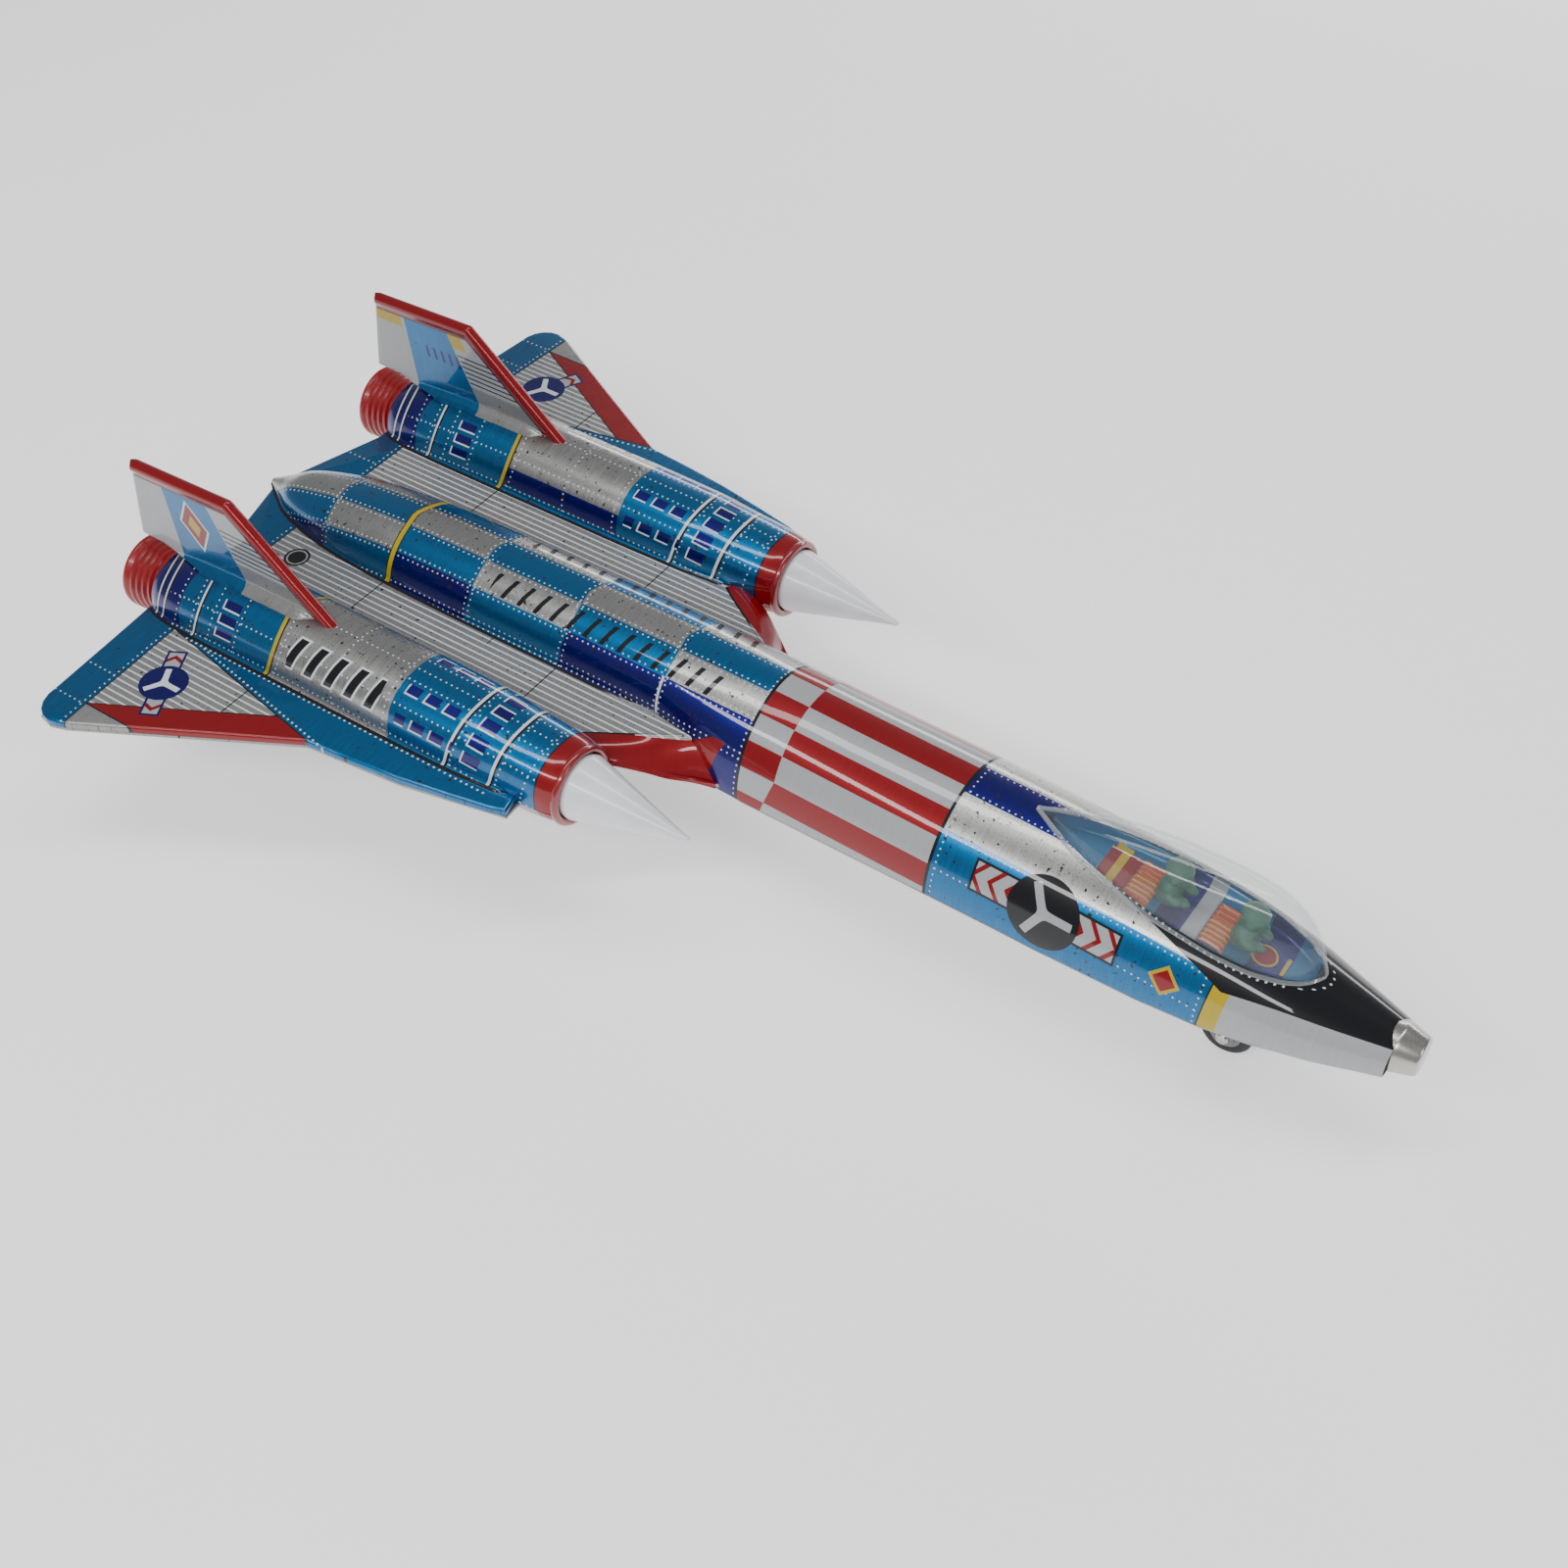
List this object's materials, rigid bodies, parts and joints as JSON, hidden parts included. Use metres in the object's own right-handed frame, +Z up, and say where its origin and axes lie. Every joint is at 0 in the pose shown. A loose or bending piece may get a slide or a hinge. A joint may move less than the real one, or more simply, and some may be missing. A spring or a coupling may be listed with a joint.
{
  "type": "tin toy jet aircraft",
  "caption": "Printed tin-plate toy delta jet with engine pods, upright fins, canopy over pilots, friction flywheel drive and swivelling nose wheel.",
  "frame": {"origin": "on the floor under the middle of the overall box, where the wheels stand", "axes": "+X to the nose, +Y to port, +Z up"},
  "size_m": [0.3806, 0.2254, 0.0856],
  "materials": {
    "litho_tin": "lithographed tin under clear lacquer, glossy",
    "underside_tin": "lithographed tin, silver grey, glossy",
    "tray_tin": "lithographed tin, glossy",
    "fin_tin": "lithographed tin under clear lacquer, glossy",
    "pilot_plastic": "moulded green plastic, semi-matte",
    "clear_plastic": "clear blown plastic, glossy",
    "white_plastic": "moulded white plastic, glossy",
    "red_plastic": "moulded red plastic, glossy",
    "nickel": "worn nickel plate",
    "plain_steel": "plain rolled steel",
    "wheel_tin": "pressed tin, bright",
    "gear_brass": "stamped brass",
    "flywheel_steel": "turned iron",
    "black_rubber": "moulded rubber, dusty"
  },
  "bodies": {
    "airframe": {"upper_shell": "litho_tin", "lower_shell": "underside_tin", "cockpit_tray": "tray_tin", "rear_pilot": "pilot_plastic", "front_pilot": "pilot_plastic", "canopy": "clear_plastic", "nose_cap": "nickel", "port_fin_outer": "fin_tin", "port_fin_inner": "fin_tin", "starboard_fin_outer": "fin_tin", "starboard_fin_inner": "fin_tin", "port_intake_cone": "white_plastic", "starboard_intake_cone": "white_plastic", "port_exhaust_cup": "red_plastic", "starboard_exhaust_cup": "red_plastic", "port_motor_plate": "plain_steel", "starboard_motor_plate": "plain_steel", "motor_posts": "plain_steel", "fork_pivot": "nickel"},
    "drive_wheels": {"drive_axle": "plain_steel", "drive_gear": "gear_brass", "port_wheel_hub": "wheel_tin", "starboard_wheel_hub": "wheel_tin", "port_tyre": "black_rubber", "starboard_tyre": "black_rubber"},
    "reduction_set": {"reduction_shaft": "plain_steel", "reduction_pinion": "gear_brass", "reduction_gear": "gear_brass"},
    "flywheel_set": {"flywheel_shaft": "plain_steel", "flywheel_pinion": "gear_brass", "flywheel": "flywheel_steel"},
    "nose_fork_set": {"nose_fork": "plain_steel", "nose_axle": "nickel"},
    "nose_wheel": {"nose_wheel_hub": "wheel_tin", "nose_tyre": "black_rubber"}
  },
  "joints": [
    {"name": "drive_spin", "type": "hinge", "parent": "airframe", "child": "drive_wheels", "pos_m": [-0.107, 0, 0.014], "axis": [0, 1, 0], "continuous": true},
    {"name": "reduction_spin", "type": "hinge", "parent": "airframe", "child": "reduction_set", "pos_m": [-0.112, 0, 0.026], "axis": [0, 1, 0], "continuous": true},
    {"name": "flywheel_spin", "type": "hinge", "parent": "airframe", "child": "flywheel_set", "pos_m": [-0.1048, 0, 0.0356], "axis": [0, 1, 0], "continuous": true},
    {"name": "nose_fork_steer", "type": "hinge", "parent": "airframe", "child": "nose_fork_set", "pos_m": [0.1423, 0, 0.0232], "axis": [0, 0, 1], "range_deg": [-30, 30]},
    {"name": "nose_wheel_spin", "type": "hinge", "parent": "nose_fork_set", "child": "nose_wheel", "pos_m": [0.1423, 0, 0.0072], "axis": [0, 1, 0], "continuous": true}
  ],
  "couplings": [
    {"joint": "reduction_spin", "follows": "drive_spin", "ratio": -3.3333},
    {"joint": "flywheel_spin", "follows": "drive_spin", "ratio": 10}
  ]
}
